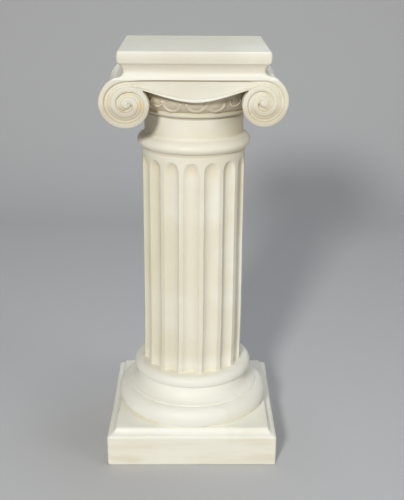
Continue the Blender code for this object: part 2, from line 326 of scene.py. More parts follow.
def net_tree():
    """Wraps a net of rows and columns round the axis: square, round or fluted, row by row."""
    start, size = new_tree("column_net", "Profile", (
        "Shaft radius", "Flute width", "Flute depth", "Flute turn", "Flute head", "Head stretch",
        "Arris softness", "Corner radius"), ("Flutes",))
    strips = STRIPS_IN_FLUTE + STRIPS_ON_ARRIS
    columns = size["Flutes"] * strips
    rows = start.node("GeometryNodeAttributeDomainSize", {"component": "MESH"},
                      {"Geometry": size["Profile"]}, "Point Count")
    net = start.node("GeometryNodeMeshGrid", None, {
        "Size X": 1.0, "Size Y": 1.0, "Vertices X": columns + 1, "Vertices Y": rows}, "Mesh")
    x, y, _ = start.place().split()
    column = start.math("ROUND", (x + 0.5) * columns)
    row = start.math("ROUND", (y + 0.5) * (rows - 1))

    def of_row(kind, field):
        return start.node("GeometryNodeSampleIndex", {"data_type": kind}, {
            "Geometry": size["Profile"], "Value": field, "Index": row})

    distance, _, height = of_row("FLOAT_VECTOR", start.place()).split()
    roundness = of_row("FLOAT", start.stored("roundness"))
    fluting = of_row("FLOAT", start.stored("fluting"))

    # Square plan: columns crowd towards the corners, and the corners are rounded
    quarter = column * 4 / columns + 0.5
    side = start.math("FLOOR", quarter)
    along = start.math("SINE", ((quarter - side) * 2 - 1) * (math.pi / 2)) * distance
    flat_corner = start.joined(along, -1 * distance, 0.0)
    inner = (distance - size["Corner radius"]).at_least(0.0)
    held = flat_corner.math("MAXIMUM", flat_corner.math("MINIMUM", flat_corner, inner),
                            -1 * inner)
    away = flat_corner.math("NORMALIZE", flat_corner - held)
    rounded = held + away * size["Corner radius"].at_most(distance)
    square = start.node("ShaderNodeVectorRotate", {"rotation_type": "Z_AXIS"}, {
        "Vector": rounded, "Angle": side * (math.pi / 2)})

    # Round plan: columns crowd towards the arrises' edges, and the flutes are sunk between them
    flute = start.math("FLOOR", column / strips)
    strip = column - flute * strips
    half = size["Flute width"] / 2
    pitch = 2 * math.pi * size["Shaft radius"] / size["Flutes"]
    in_flute = start.math("SINE", (strip / (STRIPS_IN_FLUTE / 2) - 1) * (math.pi / 2)) * half
    on_arris_share = (strip - STRIPS_IN_FLUTE) / (STRIPS_ON_ARRIS / 2) - 1
    on_arris = (pitch + (pitch - size["Flute width"])
                * start.math("SINE", on_arris_share * (math.pi / 2))) / 2
    across = in_flute.mixed(start.math("GREATER_THAN", strip, STRIPS_IN_FLUTE + 0.5), on_arris)
    angle = (size["Flute turn"] + (flute * pitch + across) / size["Shaft radius"])
    from_middle = across.math("MINIMUM", start.math("ABSOLUTE", across),
                              pitch - start.math("ABSOLUTE", across))
    rise = (height - size["Flute head"]).at_least(0.0) / size["Head stretch"]
    reach = (from_middle * from_middle + rise * rise).root()
    arc = (half * half + size["Flute depth"] * size["Flute depth"]) / (2 * size["Flute depth"])
    sunk = (arc * arc - reach * reach).root() - (arc - size["Flute depth"])
    depth = start.math("SMOOTH_MAX", sunk, 0.0, size["Arris softness"])
    rounding = size["Arris softness"] / 6
    radius = distance - fluting * (depth - rounding).at_least(0.0)
    turned = start.joined(radius * start.math("SINE", angle),
                          -1 * (radius * start.math("COSINE", angle)), 0.0)

    plan_x, plan_y, _ = square.mixed(roundness, turned).split()
    wrapped = net.moved(start.joined(plan_x, plan_y, height))
    closed = start.node("GeometryNodeMergeByDistance", None,
                        {"Geometry": wrapped, "Distance": WELD})
    return end_tree(closed, size["Paint"])


def line_mesh(name, points, **attributes):
    """A line of points, each with its value of every named attribute."""
    mesh = bpy.data.meshes.new(name)
    mesh.from_pydata(points, [(i, i + 1) for i in range(len(points) - 1)], [])
    for label, values in attributes.items():
        mesh.attributes.new(label, "FLOAT", "POINT").data.foreach_set("value", values)
    return mesh


def plain(body):
    """Keeps what the modifiers make as the object's own mesh."""
    graph = bpy.context.evaluated_depsgraph_get()
    mesh = bpy.data.meshes.new_from_object(body.evaluated_get(graph))
    body.modifiers.clear()
    body.data = mesh
    return body


def linked(name, mesh):
    body = bpy.data.objects.new(name, mesh)
    bpy.context.scene.collection.objects.link(body)
    return body


def grown(name, mesh, tree, sizes):
    """An object that a Geometry Nodes tree makes from a mesh, kept as a plain mesh."""
    body = linked(name, mesh)
    modifier = body.modifiers.new(tree.name, "NODES")
    modifier.node_group = tree
    sizes = {**sizes, "Paint": ivory_paint}
    for socket in tree.interface.items_tree:
        if socket.name in sizes:
            modifier[socket.identifier] = sizes[socket.name]
    return plain(body)


def closed_outward(body):
    """Closes what is open and turns every face outwards."""
    bm = bmesh.new()
    bm.from_mesh(body.data)
    bmesh.ops.holes_fill(bm, edges=bm.edges, sides=0)
    bmesh.ops.recalc_face_normals(bm, faces=bm.faces)
    bm.to_mesh(body.data)
    bm.free()
    return body


column_net = net_tree()
ivory_paint = bpy.data.materials.new("ivory_paint_on_resin")
NET_SIZES = {"Flutes": FLUTES, "Shaft radius": SHAFT_RADIUS, "Flute width": FLUTE_WIDTH,
             "Flute depth": FLUTE_DEPTH, "Flute turn": FLUTE_TURN, "Flute head": FLUTE_HEAD,
             "Head stretch": HEAD_STRETCH, "Arris softness": ARRIS_SOFTNESS,
             "Corner radius": CORNER_RADIUS}


def net(name, rows):
    """A closed body from rows of the net, foot first."""
    mesh = line_mesh(name, [(distance, 0.0, height) for distance, height, _, _ in rows],
                     roundness=[row[2] for row in rows], fluting=[row[3] for row in rows])
    return closed_outward(grown(name, mesh, column_net, NET_SIZES))


# The necking ring is a half-round band under the neck, fuller below. It closes the net that
# starts under the plinth: everything up to here is one skin.

RING_RADIUS = 0.1228
RING_HEIGHT = 0.0298
RING_WIDEST = 0.0132
NECK_RADIUS = 0.107
RING_TOP = RING_FOOT + RING_HEIGHT
LEAN = 0.0015
LEAN_RISE = 0.12


def ring_points():
    bulge = RING_RADIUS - NECK_RADIUS
    meets_shaft = -math.degrees(math.acos((SHAFT_RADIUS - NECK_RADIUS) / bulge))
    widest = (NECK_RADIUS, RING_FOOT + RING_WIDEST)
    points = oval(widest, bulge, RING_WIDEST, meets_shaft, 0, 8)
    points += oval(widest, bulge, RING_HEIGHT - RING_WIDEST, 0, 90, 12)[1:]
    return points + [(NECK_RADIUS / 2, RING_TOP), (0.0, RING_TOP)]


def leaned(body):
    """Shifts a body sideways by its height: the mould sagged, and the shaft leans a little."""
    for point in body.data.vertices:
        point.co.x += LEAN * eased(held((point.co.z - SHAFT_FOOT) / LEAN_RISE))
    return body


def drawn_out(body):
    """Draws two opposite corners of the plinth out a little, as its mould was not quite square."""
    for point in body.data.vertices:
        x, y, z = point.co
        back = y / PLINTH_HALF
        side = x / PLINTH_HALF
        if z <= PLINTH_TOP and side * back > 0:
            point.co.x += CORNER_DRAW * side * side * back
    return body


base = base_points()
lower_rows = plinth_rows(base[0][0]) + as_rows(base, 1.0)
lower_rows += shaft_rows() + as_rows(ring_points(), 1.0)
casting = drawn_out(leaned(net("cast_column", lower_rows)))


# The neck is plain and round, with a bead round its top and the echinus swelling above it.
# It stands inside the ring and the scrolls, as it would in a solid block.

NECK_HEIGHT = 0.0473
COLLAR_RADIUS = 0.1165
COLLAR_BULGE = 0.0075
COLLAR_HEIGHT = 0.0117
ECHINUS_FOOT_RADIUS = 0.1125
ECHINUS_RADIUS = 0.1315
ECHINUS_HEIGHT = 0.039
BAND_HEIGHT = 0.0775
COLLAR_FOOT = RING_TOP + NECK_HEIGHT
ECHINUS_FOOT = COLLAR_FOOT + COLLAR_HEIGHT
BAND_TOP = ECHINUS_FOOT + BAND_HEIGHT
NECK_SEAT = 0.008
NECK_FILLET = 0.005
COLLAR_LIFT = 0.0025


def neck_points():
    foot = RING_TOP - NECK_SEAT
    reach = NECK_RADIUS + NECK_FILLET
    points = [(0.0, foot), (reach, foot)]
    points += oval((reach, RING_TOP + NECK_FILLET), -NECK_FILLET, NECK_FILLET, -90, 0, 8)
    points.append((NECK_RADIUS, COLLAR_FOOT))
    points += oval((COLLAR_RADIUS - COLLAR_BULGE, COLLAR_FOOT + COLLAR_HEIGHT / 2),
                   COLLAR_BULGE, COLLAR_HEIGHT / 2, -80, 62, 10)
    swell = ECHINUS_RADIUS - ECHINUS_FOOT_RADIUS
    steps = 8
    for i in range(steps + 1):
        angle = math.pi / 2 * i / steps
        points.append((ECHINUS_FOOT_RADIUS + swell * math.sin(angle),
                       ECHINUS_FOOT + ECHINUS_HEIGHT * (1 - math.cos(angle))))
    top = BAND_TOP - NECK_SEAT
    return points + [(ECHINUS_RADIUS, top), (0.0, top)]


def collar_lifted(body):
    """Lifts the collar's left side a little: the bead was laid on by hand."""
    for point in body.data.vertices:
        share = held((point.co.z - COLLAR_FOOT) / COLLAR_HEIGHT + 1)
        inside = 1 if point.co.z < BAND_TOP - 2 * NECK_SEAT else 0
        point.co.z += inside * COLLAR_LIFT * share * max(0.0, -point.co.x / COLLAR_RADIUS)
    return body


capital_shells = [collar_lifted(leaned(net("neck", as_rows(neck_points(), 1.0))))]


# Eggs and darts stand in low relief round the echinus, five to a face: a raised rim round each
# low egg, and a faint dart between two. They were modelled by hand, so no two are quite alike, and
# the outer ones are squeezed by the scrolls.

EGG_RISE = 0.0195
EGG_RADIUS = 0.0165
EGG_RIM = 0.0028
EGG_DOME = 0.0026
EGG_SWEEP = math.radians(205)
EGG_GAP = 2.3
EGG_LENGTH = 1.1
EGG_SINK = 0.0006
EGG_UNEVENNESS = 0.07
DART_WIDTH = 0.0060
DART_POINT = 0.3
DART_RELIEF = 0.8
DART_LENGTH = 1.5
DART_LIFT = 0.35
FRONT_EGGS = (-36.5, -21.0, 1.8, 20.0, 40.3)
BACK_EGGS = (-39.0, -19.5, 0.0, 19.5, 39.0)
SQUEEZE = 0.30
SQUEEZE_LIFT = 0.004


def egg_tree():
    """A row of eggs and darts, laid out flat and then wrapped round the echinus."""
    start, size = new_tree("eggs_and_darts", "Places", (
        "Rim", "Dome", "Egg radius", "Egg rise", "Sweep", "Dart width", "Unevenness",
        "Foot radius", "Full radius", "Foot level", "Swell height"), ("Seed",))
    line = start.node("GeometryNodeCurveArc", {"mode": "RADIUS"}, {
        "Resolution": 24, "Radius": size["Egg radius"],
        "Start Angle": -math.pi / 2 - size["Sweep"] / 2, "Sweep Angle": size["Sweep"]})
    section = start.node("GeometryNodeCurvePrimitiveCircle", {"mode": "RADIUS"},
                         {"Resolution": 10, "Radius": size["Rim"]})
    rim = start.node("GeometryNodeCurveToMesh", None, {
        "Curve": line, "Profile Curve": section, "Fill Caps": True})
    ball = start.node("GeometryNodeMeshUVSphere", None, {
        "Segments": 20, "Rings": 12, "Radius": 1.0}, "Mesh")
    reach = size["Egg radius"] - size["Rim"] * EGG_GAP
    egg = start.node("GeometryNodeTransform", None, {
        "Geometry": ball, "Translation": (0.0, 0.0, -EGG_SINK),
        "Scale": start.joined(reach, reach * EGG_LENGTH, size["Dome"])})
    motif = start.node("GeometryNodeJoinGeometry", None, {"Geometry": [rim, egg]})
    point = start.node("GeometryNodeMeshCone", None, {
        "Vertices": 10, "Radius Top": DART_POINT, "Radius Bottom": 1.0, "Depth": 1.0}, "Mesh")
    dart = start.node("GeometryNodeTransform", None, {
        "Geometry": point, "Rotation": (math.pi / 2, 0, 0),
        "Scale": start.joined(size["Dart width"] / 2, size["Rim"] * DART_RELIEF,
                              size["Egg radius"] * DART_LENGTH)})

    def uneven(low, high, seed):
        return start.node("FunctionNodeRandomValue", {"data_type": "FLOAT"}, {
            "Min": low, "Max": high, "Seed": size["Seed"] + seed})

    def set_out(motif, shown):
        breadth = start.stored("breadth") * uneven(1 - size["Unevenness"], 1 + size["Unevenness"], 0)
        return start.node("GeometryNodeInstanceOnPoints", None, {
            "Points": size["Places"], "Selection": shown, "Instance": motif,
            "Rotation": start.joined(0.0, 0.0, uneven(-1, 1, 1) * size["Unevenness"]),
            "Scale": start.joined(breadth, uneven(1 - size["Unevenness"], 1.0, 2) * breadth, 1.0)})

    is_egg = start.math("GREATER_THAN", start.stored("egg"), 0.5)
    both = start.node("GeometryNodeJoinGeometry", None, {
        "Geometry": [set_out(motif, is_egg), set_out(dart, 1 - is_egg)]})
    flat = start.node("GeometryNodeRealizeInstances", None, {"Geometry": both})
    x, up, proud = start.place().split()
    y = up + size["Egg rise"]
    share = (y / size["Swell height"]).at_least(0.0).at_most(1.0)
    swell = (1 - (1 - share) * (1 - share)).root() * (size["Full radius"] - size["Foot radius"])
    radius = size["Foot radius"] + swell + proud
    angle = x / size["Foot radius"]
    place = start.joined(radius * start.math("SINE", angle),
                         -1 * (radius * start.math("COSINE", angle)), y + size["Foot level"])
    return end_tree(flat.moved(place), size["Paint"])


def egg_row(degrees, seed):
    """The eggs of one face, at their places round the echinus, and a dart between each two."""
    points = []
    breadths = []
    kinds = []
    for i, place in enumerate(degrees):
        outermost = i in (0, len(degrees) - 1)
        points.append((math.radians(place) * ECHINUS_FOOT_RADIUS, SQUEEZE_LIFT * outermost, 0.0))
        breadths.append(1 - SQUEEZE * outermost)
        kinds.append(1.0)
    for left, right in zip(degrees, degrees[1:]):
        middle = math.radians((left + right) / 2)
        points.append((middle * ECHINUS_FOOT_RADIUS, EGG_RADIUS * DART_LIFT, 0.0))
        breadths.append(1.0)
        kinds.append(0.0)
    mesh = line_mesh("eggs", points, breadth=breadths, egg=kinds)
    return grown("eggs", mesh, egg_and_dart, {
        "Rim": EGG_RIM, "Dome": EGG_DOME, "Egg radius": EGG_RADIUS, "Egg rise": EGG_RISE,
        "Sweep": EGG_SWEEP, "Dart width": DART_WIDTH, "Unevenness": EGG_UNEVENNESS, "Seed": seed,
        "Foot radius": ECHINUS_FOOT_RADIUS, "Full radius": ECHINUS_RADIUS,
        "Foot level": ECHINUS_FOOT, "Swell height": ECHINUS_HEIGHT})


def turned_round(body):
    """Turns a body half a turn about the axis, to the back face."""
    body.data.transform(Matrix.Rotation(math.pi, 4, "Z"))
    return body


egg_and_dart = egg_tree()
capital_shells += [leaned(egg_row(FRONT_EGGS, 3)), leaned(turned_round(egg_row(BACK_EGGS, 8)))]


# The scrolls: a solid roll on each side, waisted between its two faces, and the band that joins
# the left and the right one. The faces carry their relief on top of this body.

CAPITAL_DEPTH = 0.300
EYE_SPACING = 0.2686
EYE_RADIUS = 0.0078
EYE_EXTRA = 0.0008
VOLUTE_RADIUS = 0.0606
VOLUTE_PITCH = 0.0247
VOLUTE_TIGHTENING = 0.00123
VOLUTE_SQUASH = 0.971
VOLUTE_RIM = 0.0117
VOLUTE_RELIEF = 0.006
VOLUTE_RIM_DEPTH = 0.030
JOINT_TURNS = 0.88
BOLSTER_WAIST = 0.0412
BAND_SINK = 0.00645
CHANNEL_FALL = 0.0440
CHANNEL_ROUND = 0.045
BAND_RISE = VOLUTE_SQUASH * VOLUTE_RADIUS - BAND_SINK
GROOVE_DROP = 0.0018
GROOVE_RUN = 0.12
CREST = BAND_RISE + 0.002
GROOVE_RISE = VOLUTE_SQUASH * (VOLUTE_RADIUS - VOLUTE_RIM - GROOVE_DROP)
SAG_RISE = GROOVE_RISE - CHANNEL_FALL
EYE_LEVEL = BAND_TOP - BAND_RISE
SCROLL_SHIFT = 0.0042
LEFT_DROP = 0.0025
LEFT_DROP_SPEED = 5
RIGHT_LIFT = 0.0016
BACK_DRAW = 0.004


def volute_radius(turns):
    """Outer edge of the scroll after so many turns, counted from straight above the eye."""
    return VOLUTE_RADIUS - VOLUTE_PITCH * turns + VOLUTE_TIGHTENING * turns * turns


def turns_in_to(radius):
    """Turns after which the scroll's outer edge has come in to a radius."""
    root = math.sqrt(VOLUTE_PITCH ** 2 - 4 * VOLUTE_TIGHTENING * (VOLUTE_RADIUS - radius))
    return (VOLUTE_PITCH - root) / (2 * VOLUTE_TIGHTENING)


def scroll_point(turns, radius):
    """A point (across, up) from the eye of the right-hand volute, winding outward side first."""
    angle = 2 * math.pi * turns
    return radius * math.sin(angle), VOLUTE_SQUASH * radius * math.cos(angle)


def sag_rise(x, joint):
    """Height of the sagging lower edge over the eyes, at a distance from the axis."""
    swing = math.hypot(joint[0], CHANNEL_ROUND) - CHANNEL_ROUND
    share = (math.hypot(x, CHANNEL_ROUND) - CHANNEL_ROUND) / swing
    return SAG_RISE + (joint[1] - SAG_RISE) * share


def scroll_joint(scale):
    """Where the scroll's outer edge ends and the sagging lower edge begins."""
    across, up = scroll_point(JOINT_TURNS, volute_radius(JOINT_TURNS))
    return EYE_SPACING / 2 + scale * across, scale * up


def scroll_outline(scale):
    """Outline of both scrolls and the band, with the scrolls drawn in to a scale."""
    eye = EYE_SPACING / 2
    half = [(0.0, BAND_RISE), (eye / 2, BAND_RISE), (eye - VOLUTE_RIM, BAND_RISE)]
    level = math.acos(min(1.0, BAND_RISE / (VOLUTE_SQUASH * VOLUTE_RADIUS))) / (2 * math.pi)
    steps = 80
    sag_steps = 20
    for i in range(steps):
        turns = level + (JOINT_TURNS - level) * i / steps
        across, up = scroll_point(turns, volute_radius(turns))
        half.append((eye + scale * across, scale * up))
    joint = scroll_joint(scale)
    for i in range(sag_steps, -1, -1):
        across = joint[0] * i / sag_steps
        half.append((across, sag_rise(across, joint)))
    both = half + [(-x, z) for x, z in reversed(half[1:-1])]
    return [(x, EYE_LEVEL + z) for x, z in both]


def closed_mesh(name, bm):
    """A mesh from a bmesh, with every face turned outwards."""
    bmesh.ops.recalc_face_normals(bm, faces=bm.faces)
    mesh = bpy.data.meshes.new(name)
    bm.to_mesh(mesh)
    bm.free()
    return mesh


def loft(name, rings):
    """A closed body through rings of points, all with the same number of points."""
    bm = bmesh.new()
    loops = [[bm.verts.new(point) for point in ring] for ring in rings]
    for low, high in zip(loops, loops[1:]):
        for i in range(len(low)):
            j = (i + 1) % len(low)
            bm.faces.new((low[i], low[j], high[j], high[i]))
    bm.faces.new(list(reversed(loops[0])))
    bm.faces.new(loops[-1])
    return linked(name, closed_mesh(name, bm))


def settled(body):
    """Moves a scroll's points: by hand, the left one came out larger and hangs lower."""
    outermost = top_corner.x
    inner = scroll_joint(1.0)[0]
    for point in body.data.vertices:
        x, y, z = point.co
        out = held(abs(x) / inner)
        down = held((BAND_TOP - z) / BAND_RISE)
        if x < 0:
            down = max(down, held((abs(x) / inner - 1) * LEFT_DROP_SPEED))
        point.co.x += SCROLL_SHIFT * min(1.0, (outermost - abs(x)) / (outermost - inner))
        if x > 0 and y > 0:
            point.co.x -= BACK_DRAW * out * out * y / (CAPITAL_DEPTH / 2)
        point.co.z += down * out * out * (RIGHT_LIFT if x > 0 else -LEFT_DROP)
    return body


def scroll_body():
    face = CAPITAL_DEPTH / 2 - VOLUTE_RELIEF
    reach = CAPITAL_DEPTH / 2 - VOLUTE_RIM_DEPTH
    waist = BOLSTER_WAIST / VOLUTE_RADIUS
    steps = 24
    stations = [(-face, 1.0)]
    for i in range(steps + 1):
        share = 2 * i / steps - 1
        stations.append((share * reach, waist + (1 - waist) * share * share))
    stations.append((face, 1.0))
    return loft("scrolls", [[(x, y, z) for x, z in scroll_outline(scale)]
                            for y, scale in stations])


capital_shells.append(settled(scroll_body()))


# The relief on each face: a rim that winds in to the eye of each volute, a fillet along the band's
# top, and the rounded lip of the sagging edge. They stand proud of the sunk channel between them.

RELIEF_SINK = 0.004
RIM_ROUND = 0.003
FILLET_ROUND = 0.0015
LIP_WIDTH = 0.009
LIP_WIDTH_END = 0.003
LIP_EXTRA = 0.001
CHANNEL_SWELL = 0.0045
BANK_START = 0.95
BANK_WIDTH = 0.0095
BANK_HEIGHT = 0.0026
LIP_OVERLAP = 0.011
CREST_TURNS = 0.2


def ridge_tree():
    """Sweeps a round-cornered bar along a line laid flat, and stands it up on the front face."""
    start, size = new_tree("ridge_on_face", "Line",
                           ("Width", "Height", "Sink", "Corner", "Face"))
    share = start.stored("width_share")
    line = start.node("GeometryNodeMeshToCurve", None, {"Mesh": size["Line"]})
    upright = start.node("GeometryNodeSetCurveNormal", {"mode": "Z_UP"}, {"Curve": line})
    sized = start.node("GeometryNodeSetCurveRadius", None, {"Curve": upright, "Radius": share})
    whole = size["Height"] + size["Sink"]
    bar = start.node("GeometryNodeCurvePrimitiveQuadrilateral", {"mode": "RECTANGLE"},
                     {"Width": size["Width"], "Height": whole * 2})
    soft = start.node("GeometryNodeFilletCurve", {"mode": "POLY"},
                      {"Curve": bar, "Radius": size["Corner"], "Count": 5})
    swept = start.node("GeometryNodeCurveToMesh", None, {
        "Curve": sized, "Profile Curve": soft, "Scale": share, "Fill Caps": True})
    x, y, z = start.place().split()
    top = start.math("ABSOLUTE", z / share)
    sign = start.math("SIGN", z)
    height = (sign * top).at_least(0.0) - size["Sink"]
    place = start.joined(x, size["Face"] - height, y)
    return end_tree(swept.moved(place), size["Paint"])


def ridge(name, points, shares, width, height, corner=RIM_ROUND):
    """A ridge along points (across, up) of the front face; shares narrow it along its length."""
    mesh = line_mesh(name, [(x, EYE_LEVEL + up, 0.0) for x, up in points], width_share=shares)
    return grown(name, mesh, ridge_on_face, {
        "Width": width, "Height": height, "Sink": RELIEF_SINK, "Corner": corner,
        "Face": -(CAPITAL_DEPTH / 2 - VOLUTE_RELIEF)})


def volute_rim():
    """The rim of the right-hand volute: narrow over the eye, where it goes on as the fillet."""
    end = turns_in_to(EYE_RADIUS)
    steps = 130
    points = []
    shares = []
    for i in range(steps + 1):
        turns = end * i / steps
        outer = volute_radius(turns)
        inner = outer - VOLUTE_RIM - GROOVE_DROP * max(0.0, 1 - turns / GROOVE_RUN)
        if turns < CREST_TURNS:
            outer = min(outer, CREST / (VOLUTE_SQUASH * math.cos(2 * math.pi * turns)))
        across, up = scroll_point(turns, (outer + inner) / 2)
        points.append((EYE_SPACING / 2 + across, up))
        shares.append((outer - inner) / VOLUTE_RIM)
    return ridge("volute_rim", points, shares, VOLUTE_RIM, VOLUTE_RELIEF)


def volute_bank():
    """The floor rises softly to the outer side of the inner turns, and drops on their inner side."""
    end = turns_in_to(EYE_RADIUS)
    steps = 100
    points = []
    for i in range(steps + 1):
        turns = BANK_START + (end - BANK_START) * i / steps
        across, up = scroll_point(turns, volute_radius(turns))
        points.append((EYE_SPACING / 2 + across, up))
    return ridge("volute_bank", points, [1.0] * len(points), BANK_WIDTH, BANK_HEIGHT,
                 BANK_HEIGHT / 2)


def eye_boss():
    steps = 12
    sides = 32
    rings = []
    for i in range(steps):
        angle = math.pi / 2 * i / steps
        reach = EYE_RADIUS * math.cos(angle)
        proud = (VOLUTE_RELIEF + EYE_EXTRA) * math.sin(angle)
        rings.append((reach, proud))
    face = CAPITAL_DEPTH / 2 - VOLUTE_RELIEF
    rings = [(EYE_RADIUS, -RELIEF_SINK)] + rings
    return loft("eye", [[(EYE_SPACING / 2 + reach * math.cos(a), -face - proud,
                          EYE_LEVEL + reach * math.sin(a))
                         for a in (2 * math.pi * k / sides for k in range(sides))]
                        for reach, proud in rings])


def top_fillet():
    level = (GROOVE_RISE + BAND_RISE) / 2
    steps = 10
    points = [(EYE_SPACING / 2 * i / steps, level) for i in range(-steps, steps + 1)]
    return ridge("top_fillet", points, [1.0] * len(points), BAND_RISE - GROOVE_RISE, VOLUTE_RELIEF,
                 FILLET_ROUND)


def sag_lip():
    """The rounded lower edge of the band. It ends in a point, on the left over the scroll's rim."""
    joint = scroll_joint(1.0)
    steps = 60
    left = -joint[0] - LIP_OVERLAP
    points = []
    shares = []
    for i in range(steps + 1):
        x = left + (joint[0] - left) * i / steps
        away = held(abs(x / left))
        width = LIP_WIDTH + (LIP_WIDTH_END - LIP_WIDTH) * away
        points.append((x, sag_rise(x, joint) + width / 2))
        shares.append(width / LIP_WIDTH)
    return ridge("sag_lip", points, shares, LIP_WIDTH, VOLUTE_RELIEF + LIP_EXTRA)


def channel_swell():
    """The band's channel is hollow: deepest under the fillet, and full at the lip."""
    joint = scroll_joint(1.0)
    face = CAPITAL_DEPTH / 2 - VOLUTE_RELIEF
    high = GROOVE_RISE - RIM_ROUND
    rings = []
    steps = 30
    strips = 8
    for i in range(1, 2 * steps):
        side = i / steps - 1
        x = joint[0] * side
        low = sag_rise(x, joint) + LIP_WIDTH / 2
        full = CHANNEL_SWELL * (1 - side ** 4)
        front = [(x, -face - full * (1 - k / strips) ** 2,
                  EYE_LEVEL + low + (high - low) * k / strips) for k in range(strips + 1)]
        back = [(x, RELIEF_SINK - face, EYE_LEVEL + high), (x, RELIEF_SINK - face, EYE_LEVEL + low)]
        rings.append(front + back)
    return loft("channel", rings)


def mirrored(body, axis):
    """A copy of a body on the other side of the axis: 0 for left and right, 1 for the faces."""
    mesh = body.data.copy()
    mesh.transform(Matrix.Scale(-1, 4, [float(i == axis) for i in range(3)]))
    mesh.flip_normals()
    return linked(body.name, mesh)


ridge_on_face = ridge_tree()
right_half = [volute_rim(), volute_bank(), eye_boss()]
front = right_half + [mirrored(body, 0) for body in right_half]
front += [top_fillet(), sag_lip(), channel_swell()]
capital_shells += [settled(body) for body in front + [mirrored(body, 1) for body in front]]


# The abacus is a square tile with soft edges on a hollow moulding, which flares out again to meet
# the band, and at its ends sweeps out over the scrolls. It is cast on them, and its flat top
# carries what stands on the pedestal.

ABACUS_WIDTH = 0.305
ABACUS_DEPTH = 0.292
ABACUS_FACE = 0.0238
ABACUS_EDGE = 0.0045
ABACUS_LOWER_EDGE = 0.003
ABACUS_CORNER = 0.006
ABACUS_CUSHION = 0.0008
ABACUS_SHIFT = 0.001
CAVETTO_HEIGHT = 0.0252
FLARE_RADIUS = 0.0195
FLARE_ANGLE = math.radians(57)
FLARE_SWEEP = ((0.0252, 0.0015), (0.0225, 0.0045), (0.0188, 0.0076), (0.0133, 0.0107),
               (0.0090, 0.0122), (0.0073, 0.0120), (0.0048, 0.0107), (0.0024, 0.0085),
               (-0.0004, 0.0041), (-0.0021, -0.0002), (-0.0030, -0.0068))
FLARE_TURN_UP = (-0.0030, -0.0021, -0.0012, -0.0004)
LIFT = 0.0033
LIFT_FROM = 0.10
LIFT_RUN = 0.03
LIFT_TOP = 0.021
LIFT_FADE = 0.012
ABACUS_FOOT = BAND_TOP + CAVETTO_HEIGHT
COLUMN_TOP = ABACUS_FOOT + ABACUS_FACE


def tile_ring(half_width, half_depth, corner, height):
    """A square outline with round corners, at a height."""
    points = []
    for quarter in range(4):
        right = 1 if quarter in (0, 3) else -1
        back = 1 if quarter in (0, 1) else -1
        points += [(x + ABACUS_SHIFT, y, height) for x, y in oval(
            (right * (half_width - corner), back * (half_depth - corner)),
            corner, corner, 90 * quarter, 90 * quarter + 90, 6)]
    return points


def flare_inset(height):
    """How far the moulding's ends are drawn in: at the foot they sweep out over the scrolls."""
    rise = height - BAND_TOP
    for (high, inset), (low, next_inset) in zip(FLARE_SWEEP, FLARE_SWEEP[1:]):
        if rise >= low:
            return next_inset + (inset - next_inset) * held((rise - low) / (high - low))
    return FLARE_SWEEP[-1][1]


def cavetto_profile():
    """The hollow moulding's face, foot first: how far it is drawn in, and its height."""
    front = (ABACUS_DEPTH - CAPITAL_DEPTH) / 2
    deepest = front + FLARE_RADIUS * (1 - math.cos(FLARE_ANGLE))
    waist = BAND_TOP + FLARE_RADIUS * math.sin(FLARE_ANGLE)
    points = [(-front, BAND_TOP - NECK_SEAT)]
    points += [(front, BAND_TOP + rise) for rise in FLARE_TURN_UP]
    steps = 14
    for k in range(steps + 1):
        angle = FLARE_ANGLE * (1 - k / steps)
        points.append((deepest - FLARE_RADIUS * (1 - math.cos(angle)),
                       waist - FLARE_RADIUS * math.sin(angle)))
    return points + oval((0.0, waist), deepest, ABACUS_FOOT - waist, 8, 80, 10)


def tile_profile():
    """The tile's face from its lower edge to its top: how far it is drawn in, and its height."""
    edge = ABACUS_LOWER_EDGE
    points = oval((edge, ABACUS_FOOT + edge), -edge, edge, -80, 0, 4)
    straight = ABACUS_FACE - edge - ABACUS_EDGE
    steps = 6
    for k in range(1, steps):
        points.append((-ABACUS_CUSHION * math.sin(math.pi * k / steps),
                       ABACUS_FOOT + edge + straight * k / steps))
    return points + oval((ABACUS_EDGE, COLUMN_TOP - ABACUS_EDGE), -ABACUS_EDGE, ABACUS_EDGE,
                         0, 90, 6)


def abacus_profile():
    """From foot to top: how far the outline is drawn in across and in depth, and its height."""
    rows = [(flare_inset(height), inset, height) for inset, height in cavetto_profile()]
    return rows + [(inset, inset, height) for inset, height in tile_profile()]


def end_lifted(body):
    """Lifts the right end of the moulding's foot to the scroll, which sits higher there."""
    for point in body.data.vertices:
        across = held((point.co.x - LIFT_FROM) / LIFT_RUN)
        low = held((BAND_TOP + LIFT_TOP - point.co.z) / LIFT_FADE)
        point.co.z += LIFT * across * low
    return body


capital_shells.append(end_lifted(loft("abacus", [
    tile_ring(ABACUS_WIDTH / 2 - across, ABACUS_DEPTH / 2 - deep, ABACUS_CORNER, height)
    for across, deep, height in abacus_profile()])))


# The capital comes out of its mould as one block, so its shells are fused, every inner corner is
# a little full, and the ends of the hollow moulding melt into the scrolls. Then the capital is
# joined to the pedestal below it.

CAPITAL_GRAIN = 0.001
CAPITAL_SOFTENING = 2
MELTING = 24
MELT_FACTOR = 0.6
MELT_ACROSS = (0.150, 0.022)
MELT_RISE = (0.0045, 0.009)
MELT_DEPTH = (0.125, 0.010)
MELT_STRENGTH = 3
CAPITAL_TRIANGLES = 90000


def join(name, bodies):
    """One object from several, which overlap."""
    bm = bmesh.new()
    for body in bodies:
        bm.from_mesh(body.data)
        bpy.data.objects.remove(body, do_unlink=True)
    return linked(name, closed_mesh(name, bm))


def triangles(body):
    return sum(len(face.vertices) - 2 for face in body.data.polygons)


